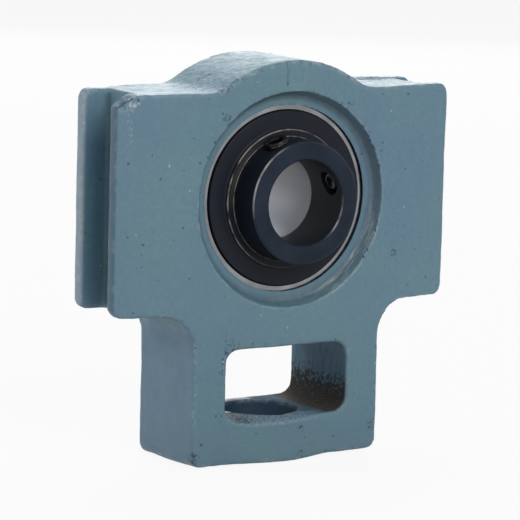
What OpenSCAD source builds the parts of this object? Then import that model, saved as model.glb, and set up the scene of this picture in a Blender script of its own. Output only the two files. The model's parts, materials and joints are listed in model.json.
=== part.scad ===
// Take-up bearing unit: a cast block that slides between two guide bars, with a lug for the take-up
// screw below, and a self-aligning ball bearing insert with set screws in its spherical seat.
// The origin is the centre of the bearing. X runs across the guide grooves, Y along the bore with the
// set screws towards -Y, and Z up. All sizes are in millimetres and all angles in degrees.

/* [Rings] */
// Diameter of the shaft bore
shaft_d = 20; // [17:0.5:23]
// Wall of the inner ring, from the bore to its outside
inner_wall = 4.35; // [3.9:0.05:4.8]
// Inner ring left under the ball track
inner_web = 2.8; // [2.4:0.05:3.1]
// Outer ring left behind the ball track
outer_web = 2.66; // [2.2:0.02:3.2]
// Depth of the ball track below the outer ring's land
outer_track = 1.4; // [1.1:0.05:1.7]
// Radial step from the outer ring's land to its seal seat
seal_step = 1.35; // [0.8:0.05:1.6]
// Rim of the outer ring beyond the seal
ring_rim = 1.1; // [0.8:0.05:1.6]
// Length of the inner ring behind the back flinger
back_land = 2.5; // [1.5:0.1:4]
// Chamfer of the bore's two ends
bore_chamfer = 0.35; // [0.2:0.05:0.6]
// Chamfer of the inner ring's two outer edges
face_chamfer = 0.5; // [0.2:0.05:0.8]

/* [Balls and cage] */
// Ball diameter
ball_d = 7.938; // [7.2:0.001:8.6]
// Radius of the ball tracks as a share of the ball diameter
track_share = 0.52; // [0.51:0.005:0.54]
// Sheet thickness of the ribbon cage
cage_t = 0.7; // [0.5:0.05:0.9]
// Diameter of the cage rivets
rivet_d = 1.1; // [0.8:0.05:1.3]
// Height of the rivet heads
rivet_head_h = 0.45; // [0.3:0.05:0.7]

/* [Seals and flingers] */
// Gap between the cage and the seals
cage_gap = 1.1; // [0.8:0.05:1.6]
// Thickness of the seals
seal_t = 1.5; // [1.2:0.1:2]
// Gap between a seal and its flinger
flinger_gap = 0.5; // [0.4:0.05:0.8]
// Sheet thickness of the flingers
flinger_t = 0.8; // [0.6:0.05:0.9]
// Height of the flinger disc above the outer ring's face
disc_rise = 0.7; // [0.5:0.05:1]
// Height of the flinger's inner rim above its disc
collar_rise = 1; // [0.8:0.05:1.4]
// Radial width of the flinger's inner rim
collar_w = 1.95; // [1.7:0.05:2.4]

/* [Set screws] */
// Thread diameter of the set screws
screw_d = 6; // [5:0.5:7]
// Length of the set screws
screw_l = 5; // [4.6:0.1:6.5]
// Width across flats of the hexagon sockets
socket_af = 3; // [2:0.5:3]
// Depth of the hexagon sockets
socket_depth = 2.6; // [1.5:0.1:3]
// Distance from the set screw axis to the inner ring's front face
screw_setback = 4.7; // [4:0.1:6]
// Inner ring left between a set screw hole and the front flinger
screw_land = 0.4; // [0.3:0.05:1]
// Angle of the upper set screw, from +X towards +Z
screw_angle = 112; // [95:1:125]
// Angle from the upper set screw down to the side one
screw_spread = 90; // [60:1:120]

/* [Housing] */
// Thickness of the casting at the hub and the lug
hub_w = 24.4; // [22:0.1:28]
// Height of the recess floor above the outer ring's face
seat_lip = 0.7; // [0.3:0.05:1.2]
// Width of the recess floor, from the seat to the recess wall
recess_ledge = 2.9; // [2:0.1:4]
// Lean of the recess wall, from its floor to the casting's face
recess_draft = 0.7; // [0.3:0.05:1.2]
// Radius between the recess floor and its wall
recess_fillet = 0.8; // [0.5:0.05:1]
// Casting left between the recess and the top of the arch
arch_wall = 7.2; // [6:0.1:9]
// Radius of the hollow corners where the arch and the lug leave the plate
blend_r = 8; // [5:0.5:9]

/* [Guide rails] */
// Width across the two rails
rail_w = 91; // [86:0.5:96]
// Length of the rails
rail_l = 51; // [48:0.5:54]
// Width of the guide grooves
groove_w = 12; // [10:0.5:13]
// Depth of the guide grooves
groove_depth = 6.5; // [5:0.25:8]
// Thickness of the rail flanges at their edges
flange_tip = 3.1; // [2.4:0.1:4]
// Radius of the flange edges
flange_round = 0.3; // [0.2:0.1:1.5]
// Radius of the plate's top corners
top_corner_r = 2.5; // [1:0.5:5]
// Radius of the plate's bottom corners
bottom_corner_r = 2.5; // [1:0.5:4]

/* [Screw lug] */
// Width of the lug
lug_w = 51; // [48:0.5:54]
// Width of the posts on the two sides of the window
post_w = 8.8; // [7:0.1:11]
// Casting left between the bearing seat and the window
boss_wall = 10.9; // [9:0.1:13]
// Height of the window
window_h = 16.5; // [14:0.5:20]
// Radius of the window's corners
window_r = 3.5; // [2:0.25:5]
// Height of the bar under the window
bar_h = 11; // [8:0.5:13]
// Diameter of the take-up screw hole
screw_hole_d = 18.5; // [16:0.5:20]
// Radius of the lug's bottom corners
lug_corner_r = 2.5; // [1:0.5:4]

/* [Clearances] */
// Gap between balls and tracks
run_clear = 0.05; // [0.02:0.01:0.08]
// Gap between balls and cage pockets
pocket_clear = 0.12; // [0.1:0.01:0.2]
// Gap between the insert and its spherical seat
seat_clear = 0.05; // [0.02:0.01:0.08]
// Gap between set screws and their holes
thread_clear = 0.05; // [0.02:0.01:0.08]
// Gap between pressed or riveted pieces
press_clear = 0.02; // [0.01:0.01:0.04]
// Gap between turning sheet pieces and the rings round them
sheet_clear = 0.3; // [0.25:0.05:0.5]
// Gap between the set screw tips and the shaft
tip_clear = 0.4; // [0.2:0.05:0.6]
// Gap between the insert turned edge-on and its loading slots
load_clear = 0.3; // [0.2:0.05:0.5]

/* [Hidden] */
$fn = 96;

paint = [0.40, 0.51, 0.56];
bright_steel = [0.75, 0.76, 0.78];
black_oxide = [0.14, 0.16, 0.19];
pressed_black = [0.10, 0.11, 0.12];
cage_steel = [0.62, 0.60, 0.56];
seal_rubber = [0.09, 0.08, 0.08];

ball_count = 8;
ball_step = 360 / ball_count;
ball_r = ball_d / 2;
track_r = track_share * ball_d;

// Radii of the insert, from the bore outwards
bore_r = shaft_d / 2;
inner_r = bore_r + inner_wall;
inner_track_r = bore_r + inner_web;
pitch_r = inner_track_r + run_clear + ball_r;
outer_track_r = pitch_r + ball_r + run_clear;
land_r = outer_track_r - outer_track;
seal_seat_r = land_r + seal_step;
sphere_r = outer_track_r + outer_web;
flinger_r = seal_seat_r - sheet_clear;
collar_r = inner_r + collar_w;

// Distances of the insert's faces from the bearing's middle plane, outwards
cage_out = ball_r + pocket_clear + cage_t;
seal_in = cage_out + cage_gap;
seal_out = seal_in + seal_t;
ring_half = seal_out + ring_rim;
flinger_in = seal_out + flinger_gap;
disc_out = ring_half + disc_rise;
collar_out = disc_out + collar_rise;
screw_y = collar_out + screw_land + screw_d / 2;
front_l = screw_y + screw_setback;
back_l = collar_out + back_land;
sheet_edge = flinger_t / 3;

// Cage band and rivets
cage_half_w = (pitch_r - inner_r) / 2;
rivet_r = rivet_d / 2;
rivet_head_r = min(1.7 * rivet_r, 0.9 * cage_half_w);

// Seal lip
lip_r = inner_r + sheet_clear;
lip_h = 0.4 * seal_t;
lip_w = 0.8 * seal_t;

// Set screws, measured outwards along their own axis
screw_r = screw_d / 2 - thread_clear;
tip_r = bore_r + tip_clear;
screw_top = tip_r + screw_l;
screw_chamfer = screw_d / 15;
point_chamfer = screw_d / 7;
cup_r = screw_d / 4;
cup_depth = screw_d / 8;
socket_r = socket_af / 2 / cos(30);

// Housing
hub_half = hub_w / 2;
seat_r = sphere_r + seat_clear;
floor_y = ring_half + seat_lip;
floor_r = sqrt(seat_r * seat_r - floor_y * floor_y) + recess_ledge;
recess_r = floor_r + recess_draft;
arch_r = recess_r + arch_wall;
load_slot_h = 2 * (ring_half + load_clear);

// Plate and rails
rail_half = rail_w / 2;
rail_top = rail_l / 2;
groove_half = groove_w / 2;
groove_x = rail_half - groove_depth;
flange_half = groove_half + flange_tip;
taper_x = max(lug_w / 2, recess_r);
taper = atan((hub_half - flange_half) / (rail_half - taper_x));
tip_x = rail_half - flange_round;
tip_y = flange_half + flange_round * tan(taper) - flange_round / cos(taper);

// One quarter of the casting's outline seen from above, from the hub's face to the groove floor
quarter_plan = concat(
  [[taper_x, hub_half]],
  arc(tip_x, tip_y, flange_round, 90 - taper, 0),
  arc(tip_x, groove_half + flange_round, flange_round, 0, -90),
  [[groove_x, groove_half]]
);

// Hollow blend between the arch and the top of the plate
blend_z = rail_top + blend_r;
blend_x = sqrt(pow(arch_r + blend_r, 2) - blend_z * blend_z);

// Lug
lug_half = lug_w / 2;
window_half = lug_half - post_w;
window_top = -(seat_r + boss_wall);
window_bottom = window_top - window_h;
lug_bottom = window_bottom - bar_h;

// Overrun of cutting shapes past the faces that they cut
over = 1;

// Points along an arc between two angles
function arc(x, y, r, from, to, steps = 6) =
  [for (i = [0:steps]) let (a = from + (to - from) * i / steps) [x + r * cos(a), y + r * sin(a)]];
function mirrored(points, sx, sy) = [for (p = points) [sx * p[0], sy * p[1]]];
function reversed(points) = [for (i = [len(points) - 1:-1:0]) points[i]];

// Turns a half profile about the bore. In the profile x is the radius and y runs towards the front.
module about_bore() {
  rotate([90, 0, 0]) rotate_extrude() children();
}

// Extrudes a front view evenly to both sides of the middle plane
module through(depth) {
  rotate([90, 0, 0]) linear_extrude(depth, center = true) children();
}

// Places children on the pitch circle at one angle
module on_pitch(angle) {
  translate([pitch_r * cos(angle), 0, pitch_r * sin(angle)]) children();
}

// Turns the z axis of children outwards along one radius through a set screw
module on_screw_axis(angle) {
  translate([0, -screw_y, 0]) rotate([0, 90 - angle, 0]) children();
}

// Draws children on the left and the right
module both_sides() {
  for (side = [0, 1]) mirror([side, 0]) children();
}

// Rectangle about the origin with round corners
module round_rect(w, h, r) {
  square([w - 2 * r, h], center = true);
  square([w, h - 2 * r], center = true);
  for (x = [-1, 1], y = [-1, 1])
    translate([x * (w / 2 - r), y * (h / 2 - r)]) circle(r);
}

// Filling of a square corner at the origin, hollowed to radius r
module hollow_corner(r) {
  difference() {
    translate([-over, -over]) square(r + over);
    translate([r, r]) circle(r);
  }
}

// Right half of the plate in front view, with its own radius at the top and the bottom corner
module half_plate() {
  translate([0, bottom_corner_r - rail_top])
    square([rail_half, rail_l - top_corner_r - bottom_corner_r]);
  translate([0, -rail_top]) square([rail_half - bottom_corner_r, rail_l / 2]);
  square([rail_half - top_corner_r, rail_l / 2]);
  translate([rail_half - top_corner_r, rail_top - top_corner_r]) circle(top_corner_r);
  translate([rail_half - bottom_corner_r, bottom_corner_r - rail_top]) circle(bottom_corner_r);
}

// Hollow blend between the arch and the plate's top edge, on the right
module arch_blend() {
  difference() {
    polygon([[0, 0], [blend_x, rail_top], [blend_x, blend_z]]);
    translate([blend_x, blend_z]) circle(blend_r);
  }
}

// Front view of the casting without its openings
module casting_outline() {
  circle(arch_r);
  both_sides() {
    half_plate();
    arch_blend();
    translate([lug_half, -rail_top]) mirror([0, 1]) hollow_corner(blend_r);
  }
  translate([0, lug_bottom / 2]) round_rect(lug_w, -lug_bottom, lug_corner_r);
}

// Casting seen from above: hub, tapered flanges with round edges, and the two guide grooves
module casting_plan() {
  polygon(concat(
    quarter_plan, reversed(mirrored(quarter_plan, 1, -1)),
    mirrored(quarter_plan, -1, -1), reversed(mirrored(quarter_plan, -1, 1))
  ));
}

module casting_blank() {
  intersection() {
    through(hub_w) casting_outline();
    translate([0, 0, lug_bottom - over]) linear_extrude(arch_r - lug_bottom + 2 * over) casting_plan();
  }
}

// Right half of a disc about the origin
module half_disc(r) {
  intersection() {
    circle(r);
    translate([0, -r]) square([r, 2 * r]);
  }
}

// Half profile of one recess, from its floor out through the casting's face
module recess_profile() {
  difference() {
    polygon([
      [0, floor_y], [floor_r, floor_y], [floor_r, floor_y + recess_fillet],
      [recess_r, hub_half], [recess_r, hub_half + over], [0, hub_half + over],
    ]);
    translate([floor_r, floor_y]) mirror([1, 0]) hollow_corner(recess_fillet);
  }
}

// Slots in the back half of the seat, through which the insert goes in edge-on
module loading_slots() {
  translate([-seat_r, 0, -load_slot_h / 2]) cube([2 * seat_r, hub_half, load_slot_h]);
}

module housing() {
  color(paint) difference() {
    casting_blank();
    about_bore() {
      half_disc(seat_r);
      for (face = [0, 1]) mirror([0, face]) recess_profile();
    }
    loading_slots();
    through(hub_w + 2 * over) translate([0, (window_top + window_bottom) / 2])
      round_rect(2 * window_half, window_h, window_r);
    translate([0, 0, lug_bottom - over]) cylinder(d = screw_hole_d, h = bar_h + 2 * over);
  }
}

module outer_ring() {
  color(bright_steel) about_bore() difference() {
    intersection() {
      circle(sphere_r);
      translate([land_r, -ring_half]) square([sphere_r, 2 * ring_half]);
    }
    translate([outer_track_r - track_r, 0]) circle(track_r);
    for (face = [0, 1]) mirror([0, face])
      translate([land_r - over, seal_in]) square([seal_seat_r - land_r + over, seal_t + ring_rim + over]);
  }
}

module inner_ring() {
  color(black_oxide) difference() {
    about_bore() difference() {
      polygon([
        [bore_r + bore_chamfer, front_l], [inner_r - face_chamfer, front_l],
        [inner_r, front_l - face_chamfer], [inner_r, face_chamfer - back_l],
        [inner_r - face_chamfer, -back_l], [bore_r + bore_chamfer, -back_l],
        [bore_r, bore_chamfer - back_l], [bore_r, front_l - bore_chamfer],
      ]);
      translate([inner_track_r + track_r, 0]) circle(track_r);
    }
    for (angle = [screw_angle, screw_angle - screw_spread])
      on_screw_axis(angle) cylinder(d = screw_d, h = inner_r + over);
  }
}

module ball(i) {
  color(bright_steel) on_pitch(i * ball_step) sphere(ball_r);
}

// Ball shape round one ball's centre, with its poles towards the front and the back
module pocket(angle, r) {
  on_pitch(angle) rotate([90, 0, 0]) sphere(r);
}

// Front half of the ribbon cage: flat tabs between pockets that bulge round the balls
module half_cage() {
  difference() {
    intersection() {
      union() {
        about_bore() translate([pitch_r - cage_half_w, 0]) square([2 * cage_half_w, cage_t]);
        for (i = [1:ball_count]) pocket(i * ball_step, ball_r + pocket_clear + cage_t);
      }
      about_bore() translate([pitch_r - cage_half_w, 0]) square([2 * cage_half_w, cage_out + over]);
    }
    for (i = [1:ball_count]) {
      pocket(i * ball_step, ball_r + pocket_clear);
      on_pitch((i + 0.5) * ball_step) rotate([90, 0, 0]) cylinder(r = rivet_r + press_clear, h = cage_out);
    }
  }
}

module cage_front() {
  color(cage_steel) half_cage();
}

module cage_back() {
  color(cage_steel) mirror([0, 1, 0]) half_cage();
}

module rivet(i) {
  color(cage_steel) on_pitch((i + 0.5) * ball_step) for (face = [0, 1]) mirror([0, face, 0]) rotate([90, 0, 0]) {
    cylinder(r = rivet_r, h = cage_t);
    translate([0, 0, cage_t]) cylinder(r = rivet_head_r, h = rivet_head_h);
  }
}

// Seal of the front side, with a lip that points at the inner ring
module seal() {
  about_bore() polygon([
    [lip_r, seal_in + lip_h], [lip_r + lip_w, seal_in], [seal_seat_r - press_clear, seal_in],
    [seal_seat_r - press_clear, seal_out], [lip_r + lip_w, seal_out], [lip_r, seal_in + 2 * lip_h],
  ]);
}

module seal_front() {
  color(seal_rubber) seal();
}

module seal_back() {
  color(seal_rubber) mirror([0, 1, 0]) seal();
}

// Pressed flinger of the front side: collar on the inner ring, raised rim, disc and turned-in edge
module flinger() {
  collar_in = inner_r + press_clear;
  about_bore() polygon([
    [collar_in, flinger_in], [collar_in + flinger_t, flinger_in], [collar_in + flinger_t, disc_out - flinger_t],
    [flinger_r - flinger_t, disc_out - flinger_t], [flinger_r - flinger_t, flinger_in],
    [flinger_r, flinger_in], [flinger_r, disc_out - sheet_edge], [flinger_r - sheet_edge, disc_out],
    [collar_r, disc_out], [collar_r, collar_out - sheet_edge], [collar_r - sheet_edge, collar_out],
    [collar_in, collar_out],
  ]);
}

module flinger_front() {
  color(pressed_black) flinger();
}

module flinger_back() {
  color(pressed_black) mirror([0, 1, 0]) flinger();
}

// Set screw with a cup point towards the shaft and a hexagon socket outside
module set_screw(angle) {
  on_screw_axis(angle) difference() {
    rotate_extrude() polygon([
      [0, tip_r + cup_depth], [cup_r, tip_r], [screw_r - point_chamfer, tip_r],
      [screw_r, tip_r + point_chamfer], [screw_r, screw_top - screw_chamfer],
      [screw_r - screw_chamfer, screw_top], [0, screw_top],
    ]);
    translate([0, 0, screw_top - socket_depth]) cylinder(r = socket_r, h = socket_depth + over, $fn = 6);
  }
}

module set_screw_upper() {
  color(black_oxide) set_screw(screw_angle);
}

module set_screw_side() {
  color(black_oxide) set_screw(screw_angle - screw_spread);
}

housing();
outer_ring();
inner_ring();
cage_front();
cage_back();
seal_front();
seal_back();
flinger_front();
flinger_back();
set_screw_upper();
set_screw_side();
for (i = [1:ball_count])
  ball(i);
for (i = [1:ball_count])
  rivet(i);
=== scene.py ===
"""Dresses the packed take-up bearing unit: a painted sand casting round a ball bearing insert."""

import json
import math

import bmesh
import bpy
import numpy as np
from bpy.props import FloatProperty, FloatVectorProperty, IntProperty, PointerProperty
from mathutils import Matrix, Vector, noise


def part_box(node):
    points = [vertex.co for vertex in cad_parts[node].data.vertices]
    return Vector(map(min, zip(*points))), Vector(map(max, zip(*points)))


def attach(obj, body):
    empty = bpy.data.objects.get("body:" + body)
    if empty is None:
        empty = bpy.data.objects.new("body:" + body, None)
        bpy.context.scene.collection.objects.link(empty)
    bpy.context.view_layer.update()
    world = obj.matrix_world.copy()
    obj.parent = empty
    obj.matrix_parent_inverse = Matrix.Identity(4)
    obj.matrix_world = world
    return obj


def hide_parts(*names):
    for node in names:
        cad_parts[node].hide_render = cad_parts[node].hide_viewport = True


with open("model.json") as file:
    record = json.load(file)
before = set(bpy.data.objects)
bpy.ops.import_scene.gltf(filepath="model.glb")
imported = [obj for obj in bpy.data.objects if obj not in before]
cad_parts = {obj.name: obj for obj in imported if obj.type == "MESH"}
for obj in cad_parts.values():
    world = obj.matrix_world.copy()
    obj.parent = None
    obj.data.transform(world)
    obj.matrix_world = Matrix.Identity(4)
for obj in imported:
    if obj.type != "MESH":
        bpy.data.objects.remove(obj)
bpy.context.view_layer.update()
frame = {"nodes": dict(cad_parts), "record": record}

bl_info = {
    "name": "Take-up bearing unit",
    "version": (1, 0, 0),
    "blender": (4, 5, 0),
    "location": "3D View > Sidebar > Take-up unit",
    "description": "Dresses the packed take-up bearing unit and sets its studio stage",
    "category": "Object",
}

MM = 0.001
BALLS = sorted(name for name in frame["nodes"] if name.startswith("ball_"))
RIVETS = sorted(name for name in frame["nodes"] if name.startswith("rivet_"))
CAGES = ("cage_front", "cage_back")
SEALS = ("seal_front", "seal_back")

# Places on the unit, taken from the packed model
HOUSING_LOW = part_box("housing")[0]
SEAT_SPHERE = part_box("outer_ring")[1].x
SEAT_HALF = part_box("outer_ring")[1].y + 0.7 * MM
INNER_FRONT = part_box("inner_ring")[0].y
INNER_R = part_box("inner_ring")[1].x
FLINGER_LOW, FLINGER_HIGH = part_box("flinger_front")
COLLAR_R = INNER_R + 1.95 * MM
SHAFT_BORE = next(mount for mount in frame["record"]["mounts"] if mount["name"] == "shaft_bore")
BORE_R = MM * SHAFT_BORE["dims"]["r_mm"]

# Places on the housing, and the border over which its shades fade
RECESS_R = 25.28 * MM
GROOVE_HALF = 6.0 * MM
RAIL_TOP = 25.5 * MM
FLANGE_FRONT = -9.1 * MM
WINDOW_HALF = 16.7 * MM
WINDOW_TOP = -34.45 * MM
WINDOW_FLOOR = HOUSING_LOW.z + 11.0 * MM
HOLE_R = 9.25 * MM
CORNER_REACH = 4.2 * MM
CORNER_SLOPE = 0.64
SOFT = 0.4 * MM

# Set screws, each with its body and its angle round the bore in degrees, and the sizes that they share
SCREWS = (("set_screw_upper", "screw_upper", 112), ("set_screw_side", "screw_side", 22))
SCREW_POINT = 10.4 * MM
SCREW_HEAD = 15.4 * MM
SCREW_R = 2.92 * MM
SCREW_SIDES = 60
THREAD_STEPS = 10

# Faces round a rivet, radius of the path that sweeps the flingers, seed of the burnt-in grains
RIVET_SIDES = 20
SWEEP_R = 17.0 * MM
GRIT_SEED = 4

# Regions of the painted skin: axis, where the region begins and where it shows in full, in millimetres
FLANGE_TIP = (("X", -41.6, -42.2),)
LUG_SIDE = (("X", -24.6, -25.3), ("Z", -27.0, -29.0))
ARCH_EDGE = (("Z", 26.0, 27.5), ("Y", -10.5, -11.5))
REAR_FLANGE_END = (("X", -44.6, -45.1), ("Y", 5.8, 6.1))
RECESS_FRONT = (("Y", -8.0, -8.6),)
LUG_FRONT = (("Y", -11.2, -11.6),)
ARCH_FRONT = (("Y", -11.4, -11.7), ("Z", 26.0, 27.0))
FLANGE_FACE = (("Y", -8.5, -9.0), ("Z", 12.0, 17.0))
WINDOW_WIDTH = (("X", 17.9, 17.2),)
WINDOW_DEPTH = (("Y", -12.2, -11.4), ("Y", 12.2, 11.4))
WINDOW_HEIGHT = (("Z", -52.0, -51.4), ("Z", -33.65, -34.25))
WINDOW_RIGHT = (("X", 1.0, 5.0),)

# Dark cast marks, each with its place and reach in millimetres
MARKS = (
    (-18.8, -11.0, 26.6, 2.2), (-44.0, -9.2, 24.6, 1.4), (-15.0, -12.1, -34.2, 2.8),
    (24.3, -12.0, -54.9, 2.0), (4.2, -12.2, -54.4, 1.2), (4.4, -12.0, -60.8, 1.6),
    (-24.6, -12.0, -59.0, 2.0), (-4.5, 8.0, 32.3, 2.2), (-16.5, 0.4, 27.9, 2.8),
    (-18.1, -12.2, 19.4, 1.6), (29.5, -11.6, -14.2, 1.2), (15.9, -12.1, 22.1, 1.2),
)

# Place and reach of the chipped paint at the broken corner, in millimetres
CHIPPED_CORNER = ((-41.6, -9.3, 24.6), 3.2)

# Chips at the broken corner: distance from the left and the top, reach and depth in millimetres, seed
CHIPS = ((3.8, 0.6, 2.2, 0.7, 5), (1.5, 2.4, 2.0, 0.5, 6))

# Kinds of noise, and the ranges that hold most of a noise's values
CLOUDY = {"detail": 3.0}
FINE = {"detail": 3.0, "rough": 0.6}
DENSE = {"detail": 4.0, "rough": 0.6}
FLAKY = {"detail": 4.0, "rough": 0.65}
SANDY = {"detail": 4.0, "rough": 0.7}
RAGGED = {"detail": 5.0, "rough": 0.75}
WIDE = (0.3, 0.7)
MIDDLE = (0.35, 0.65)

# Lamps: the setting that gives the power, the width and the place in metres
LAMPS = (
    ("key", 0.6, (0.3, 0.5, 0.8)),
    ("front", 0.7, (0.0, -1.0, 0.6)),
    ("side", 0.5, (-0.78, 0.3, 0.32)),
    ("rim", 0.5, (0.58, 0.9, 0.3)),
)

# Floor in metres and its share of white, and the camera's sensor in millimetres
FLOOR_HALF = 4.0
FLOOR_GAP = 0.2 * MM
FLOOR_WHITE = 0.92
SENSOR = 36.0


def setting(kind, **shape):
    """A short way to write properties of one kind: label, description and default."""

    def made(label, text, value, **more):
        return kind(name=label, description=text, default=value, **shape, **more)

    return made


colour = setting(FloatVectorProperty, size=3, subtype="COLOR", min=0, max=1)
length = setting(FloatProperty, unit="LENGTH", subtype="DISTANCE", precision=5)
angle = setting(FloatProperty, subtype="ANGLE")
power = setting(FloatProperty, unit="POWER", min=0)
count = setting(IntProperty)


class CastingSettings(bpy.types.PropertyGroup):
    """Sizes and colours of the painted housing."""

    step: length("Mesh step", "Grid step of the casting's skin", 0.54 * MM)
    edge_passes: count("Edge passes", "Smoothing passes that round the edges", 2, min=0)
    wave: length("Wave height", "Height of the long waves in the skin", 0.13 * MM)
    grain: length("Grain height", "Height of the short grain in the skin", 0.035 * MM)
    sill: length("Sill dip", "How far the window's front sill sinks", 1.3 * MM)
    foot: length("Foot rise", "How far the lug's foot rises at its right", 1.0 * MM)
    grit: count("Grit count", "Loose sand grains burnt into the skin", 950, min=0)
    grit_size: length("Grit size", "Mean width of a burnt-in grain", 0.34 * MM)
    paint: colour("Paint", "Main tone of the paint", (0.131, 0.232, 0.276))
    # The cool tone also makes the painted light on the lug's left side and the front flange's left tip
    paint_cool: colour("Cool paint", "Bluer tone that the paint drifts to", (0.124, 0.214, 0.292))
    # Pits also make the painted shade in the hollows
    pit: colour("Pits", "Dark of the small pits", (0.02, 0.033, 0.046))
    # Colour of the painted shade in sheltered places, also used for the runs on the window's wall
    shade: colour("Sheltered paint", "Deep blue of the paint in the openings", (0.009, 0.032, 0.062))
    # The chip tone also makes painted highlights and painted light on edges, the rear flange's end and the
    # recess wall
    chip: colour("Chips", "Pale ground under chipped paint", (0.52, 0.56, 0.58))
    burnt: colour("Burnt core face", "Dark brown of the bare face in the window", (0.028, 0.023, 0.019))


class InsertSettings(bpy.types.PropertyGroup):
    """Sizes and colours of the bearing insert."""

    sheet_edge: length("Sheet edge", "Rounding of the flingers' pressed edges", 0.22 * MM)
    edge_steps: count("Edge steps", "Faces round a pressed edge", 4, min=1)
    turn_steps: count("Turn steps", "Faces round a turned piece", 192, min=24)
    oxide_depth: length("Dark bore depth", "Length of the bore's dark front part", 13.0 * MM)
    ground_steel: colour("Ground steel", "Bright ground rings", (0.29, 0.295, 0.31))
    # Colour of the painted reflection on the lower part of the ground bore
    bore_reflection_tone: colour("Bore steel", "Cooler lower part of the ground bore", (0.235, 0.25, 0.28))
    # Colour of the painted highlights on the inner ring's rims
    rim_highlight_steel: colour("Bare rim", "Bare steel on the inner ring's worn rims", (0.34, 0.33, 0.325))
    black_oxide: colour("Black oxide", "Dark slate of the inner ring", (0.021, 0.031, 0.049))
    pressed_black: colour("Pressed black", "Black of the flingers", (0.0115, 0.016, 0.0255))
    # Colour of the rubbed rims, which also stand in for the flingers' edge highlights
    rim_wear_and_highlight: colour("Rubbed rim", "Brownish bare edges of the flingers' rims", (0.27, 0.25, 0.21))
    cage_steel: colour("Cage steel", "Pressed cage and rivets", (0.42, 0.41, 0.39))
    ball_steel: colour("Ball steel", "Polished balls", (0.68, 0.68, 0.68))
    rubber: colour("Seal rubber", "Seals behind the flingers", (0.014, 0.013, 0.013))


class ScrewSettings(bpy.types.PropertyGroup):
    """Sizes and colour of the set screws."""

    pitch: length("Thread pitch", "Rise of the thread in one turn", 0.75 * MM)
    depth: length("Thread depth", "Depth of the thread's groove", 0.4 * MM)
    socket: length("Socket width", "Width across the socket's flats", 3.0 * MM)
    socket_depth: length("Socket depth", "Depth of the hexagon socket", 2.6 * MM)
    steel: colour("Screw steel", "Dark oiled steel of the screws", (0.015, 0.0145, 0.0135))


class StageSettings(bpy.types.PropertyGroup):
    """Camera, light and floor."""

    yaw: angle("Yaw", "Camera's turn to the left", math.radians(32.507))
    pitch: angle("Pitch", "Camera's height angle", math.radians(8.753))
    roll: angle("Roll", "Camera's roll", math.radians(1.509))
    distance: length("Distance", "Camera's distance from its target", 794.85 * MM)
    lens: FloatProperty(name="Lens", description="Focal length", default=233.92, unit="CAMERA")
    target_x: length("Target across", "Target's place across the unit", -0.534 * MM)
    target_z: length("Target height", "Target's height over the bore's axis", -15.806 * MM)
    ambient: FloatProperty(name="Ambient", description="Soft light from all round", default=0.22, min=0)
    key: power("Key", "Power of the lamp above and behind", 4.0)
    front: power("Front", "Power of the lamp in front", 8.0)
    side: power("Side", "Power of the lamp at the left", 2.7)
    rim: power("Rim", "Power of the low lamp behind", 2.6)
    sky: colour("Sky", "Tint of the soft light all round", (0.86, 0.95, 1.0))
    floor: colour("Floor", "Pale floor", (0.6, 0.6, 0.6))


# Node trees


def scaled(tone, share):
    """A colour or place, each value times share."""
    return tuple(share * value for value in tone)


class Nodes:
    """A node tree in the making."""

    def __init__(self, tree):
        self.tree = tree

    def add(self, kind, inputs=None, **settings):
        """Outputs of a new node. inputs maps a socket to a value or an output."""
        made = self.tree.nodes.new(kind)
        for key, value in settings.items():
            setattr(made, key, value)
        for key, value in (inputs or {}).items():
            if isinstance(value, bpy.types.NodeSocket):
                self.tree.links.new(value, made.inputs[key])
            else:
                made.inputs[key].default_value = value
        return made.outputs

    def maths(self, operation, first, second=0.0):
        """A Math node's result."""
        return self.add("ShaderNodeMath", {0: first, 1: second}, operation=operation)[0]

    def product(self, first, *others):
        """All the values multiplied."""
        for other in others:
            first = self.maths("MULTIPLY", first, other)
        return first

    def most(self, first, *others):
        """The largest of the values."""
        for other in others:
            first = self.maths("MAXIMUM", first, other)
        return first

    def spread(self, value, low, high, start=0.0, end=1.0):
        """value taken from low..high to start..end, held at both ends."""
        inputs = {"Value": value, "From Min": low, "From Max": high, "To Min": start, "To Max": end}
        return self.add("ShaderNodeMapRange", inputs)["Result"]

    def mix(self, share, *tones):
        """The first tone turning into the second by share."""
        first, second = (tone if isinstance(tone, bpy.types.NodeSocket) else (*tone, 1) for tone in tones)
        return self.add("ShaderNodeMix", {0: share, 6: first, 7: second}, data_type="RGBA")[2]

    def joined(self, **parts):
        """A vector of the given X, Y and Z."""
        return self.add("ShaderNodeCombineXYZ", parts)[0]

    def seen(self):
        """1 for what is seen, also in a reflection, and 0 for what only gives light."""
        path = self.add("ShaderNodeLightPath")
        return self.most(path["Is Camera Ray"], path["Is Glossy Ray"], path["Is Transmission Ray"])


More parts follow.
